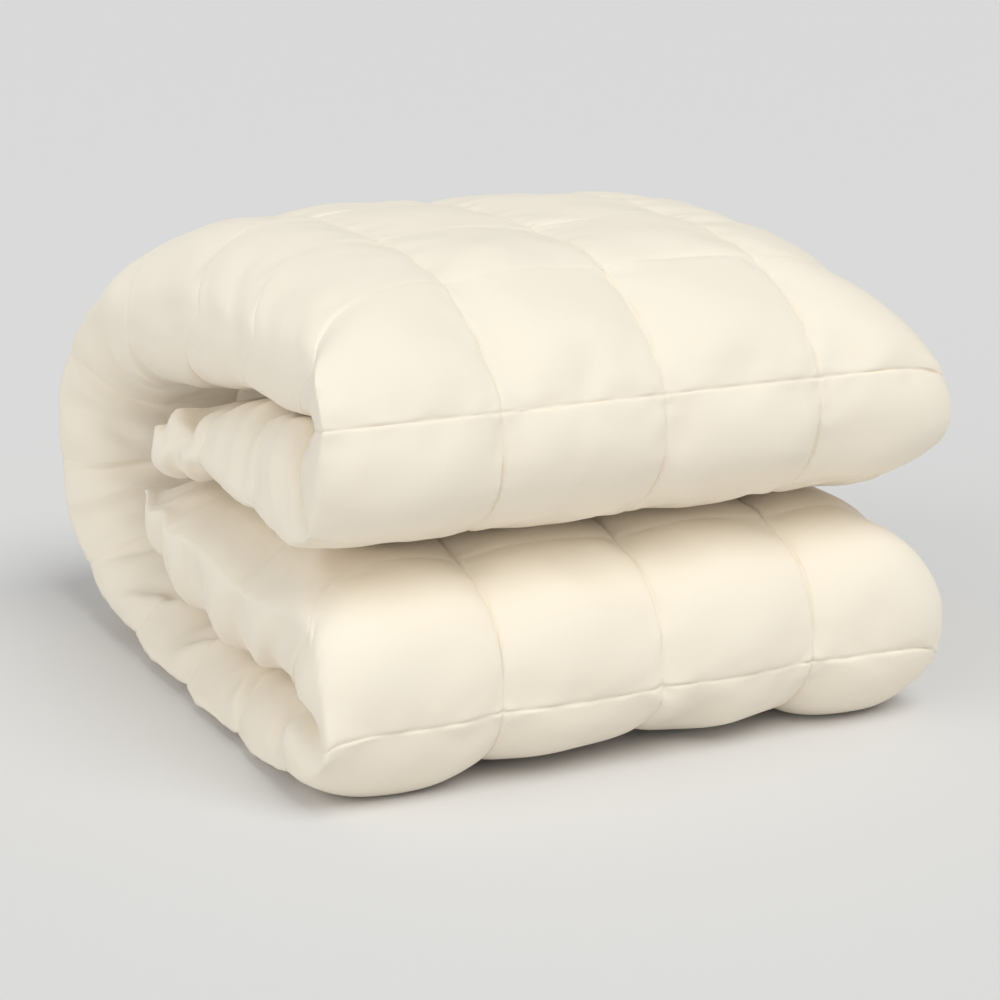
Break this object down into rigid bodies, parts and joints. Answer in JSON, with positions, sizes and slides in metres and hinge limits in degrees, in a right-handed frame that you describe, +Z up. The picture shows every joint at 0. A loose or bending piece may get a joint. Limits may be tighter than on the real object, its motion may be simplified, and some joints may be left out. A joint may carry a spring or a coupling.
{
  "type": "folded weighted blanket",
  "caption": "Weighted blanket in undyed cotton, quilted into square filled pockets, its ends turned in and the whole doubled over into a soft block.",
  "frame": {"origin": "middle of the folded blanket's box, on the surface it lies on", "axes": "+X across the blanket, to the right seen from the front; +Y back, from the two front turns towards the bend; +Z up"},
  "size_m": [0.4156, 0.49, 0.2939],
  "materials": {
    "undyed_cotton": "soft matt brushed cotton, undyed cream"
  },
  "bodies": {
    "root": {"quilted_blanket": "undyed_cotton"}
  },
  "joints": []
}
